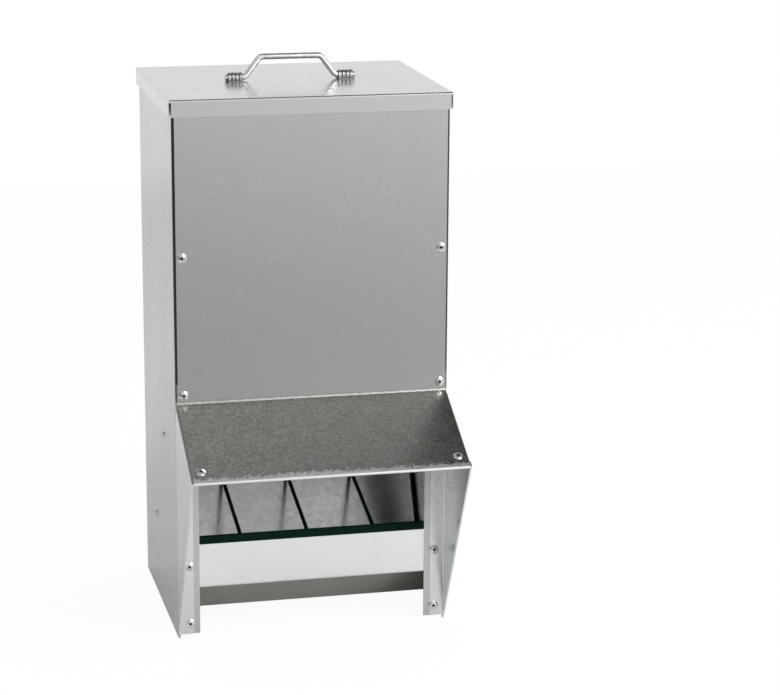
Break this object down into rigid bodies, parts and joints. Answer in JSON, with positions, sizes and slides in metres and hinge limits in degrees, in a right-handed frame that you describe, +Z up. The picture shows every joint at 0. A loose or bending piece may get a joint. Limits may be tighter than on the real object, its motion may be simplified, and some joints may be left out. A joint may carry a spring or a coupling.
{
  "type": "galvanized hopper feeder",
  "caption": "Folded sheet-steel poultry feeder: tall hopper with slip-over lid and wire handle, hooded feeding opening, trough with feed-saver rods.",
  "frame": {"origin": "on the ground under the middle of the whole feeder", "axes": "+Z up, +Y from the feeding side to the back, +X to the right as seen from the feeding side"},
  "size_m": [0.2856, 0.3308, 0.581],
  "materials": {
    "galvanised_sheet": "satin",
    "spangled_sheet": "satin",
    "rivet_metal": "polished",
    "green_plastic": "satin",
    "green_coated_wire": "satin",
    "zinc_wire": "satin"
  },
  "bodies": {
    "feeder": {"left_side_panel": "galvanised_sheet", "right_side_panel": "galvanised_sheet", "left_cheek": "galvanised_sheet", "right_cheek": "galvanised_sheet", "back_panel": "galvanised_sheet", "front_panel": "galvanised_sheet", "hood": "spangled_sheet", "baffle": "galvanised_sheet", "chute": "galvanised_sheet", "trough": "galvanised_sheet", "lip_trim": "green_plastic", "feed_rod_left": "green_coated_wire", "feed_rod_centre": "green_coated_wire", "feed_rod_right": "green_coated_wire", "front_panel_rivets": "rivet_metal", "hood_rivets": "rivet_metal", "leg_rivets": "rivet_metal", "back_panel_rivets": "rivet_metal", "baffle_rivets": "rivet_metal", "chute_rivets": "rivet_metal", "chute_back_rivets": "rivet_metal"},
    "lid": {"lid": "galvanised_sheet", "handle_clip_left": "galvanised_sheet", "handle_clip_right": "galvanised_sheet"},
    "handle": {"lid_handle": "zinc_wire"}
  },
  "joints": [
    {"name": "lid_lift", "type": "slide", "parent": "feeder", "child": "lid", "axis": [0, 0, 1], "range_m": [0, 0.06]},
    {"name": "handle_fold", "type": "hinge", "parent": "lid", "child": "handle", "pos_m": [0, 0.0501, 0.5573], "axis": [1, 0, 0], "range_deg": [-85, 85]}
  ]
}
